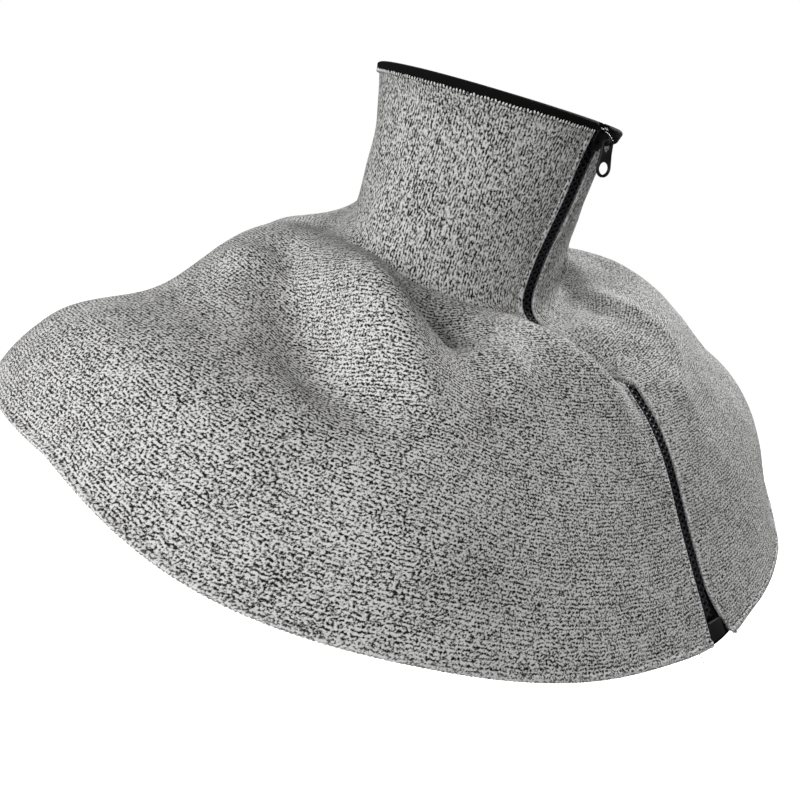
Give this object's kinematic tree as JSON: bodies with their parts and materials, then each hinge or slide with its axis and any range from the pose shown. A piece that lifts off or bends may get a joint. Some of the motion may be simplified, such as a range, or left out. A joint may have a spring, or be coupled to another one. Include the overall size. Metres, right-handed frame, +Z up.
{
  "type": "cut-resistant neck guard",
  "caption": "Knitted neck guard with a tall collar flowing into a shoulder cape, black rim binding and a full-length front zip with a hanging pull.",
  "frame": {"origin": "middle of the neck at the height of the collar root", "axes": "+Z up, front of the guard towards -Y, +X towards the wearer's left"},
  "size_m": [0.512, 0.3497, 0.2602],
  "materials": {
    "knit": "grey melange knit, light and dark yarn mixed",
    "binding": "black folded tape",
    "zip_tape": "black woven tape",
    "zip_coil": "black coil teeth",
    "zip_metal": "black enamel"
  },
  "bodies": {
    "guard": {"knit_body": "knit", "collar_binding": "binding", "zip_tape_right": "zip_tape", "zip_tape_left": "zip_tape", "zip_teeth_right": "zip_coil", "zip_teeth_left": "zip_coil", "zip_end_box": "zip_metal", "zip_slider": "zip_metal"},
    "pull": {"zip_pull": "zip_metal"}
  },
  "joints": [
    {"name": "pull_swing", "type": "hinge", "parent": "guard", "child": "pull", "pos_m": [-0.00012, -0.09152, 0.05316], "axis": [-0.9613, 0.2756, 0], "range_deg": [-30, 150]}
  ]
}
